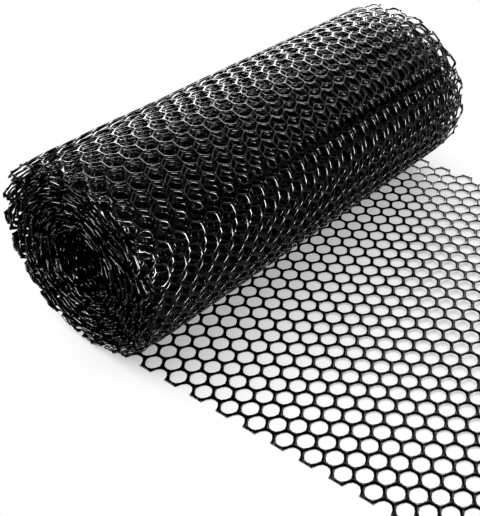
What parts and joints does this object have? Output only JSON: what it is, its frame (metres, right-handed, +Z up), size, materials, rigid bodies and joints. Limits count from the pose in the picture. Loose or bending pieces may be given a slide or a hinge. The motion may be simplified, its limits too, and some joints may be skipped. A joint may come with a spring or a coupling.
{
  "type": "roll of tree guard netting",
  "caption": "Roll of black plastic hexagonal tree guard netting lying on its side, open through its middle, with the loose end run out flat over the ground.",
  "frame": {"origin": "middle of the flat spot that the roll rests on, on the floor", "axes": "+Y along the roll away from the viewer's end, +X the way the loose end runs out, +Z up"},
  "size_m": [0.3969, 0.4271, 0.1453],
  "materials": {
    "net": "glossy black"
  },
  "bodies": {
    "root": {"wound_roll": "net", "loose_end": "net"}
  },
  "joints": []
}
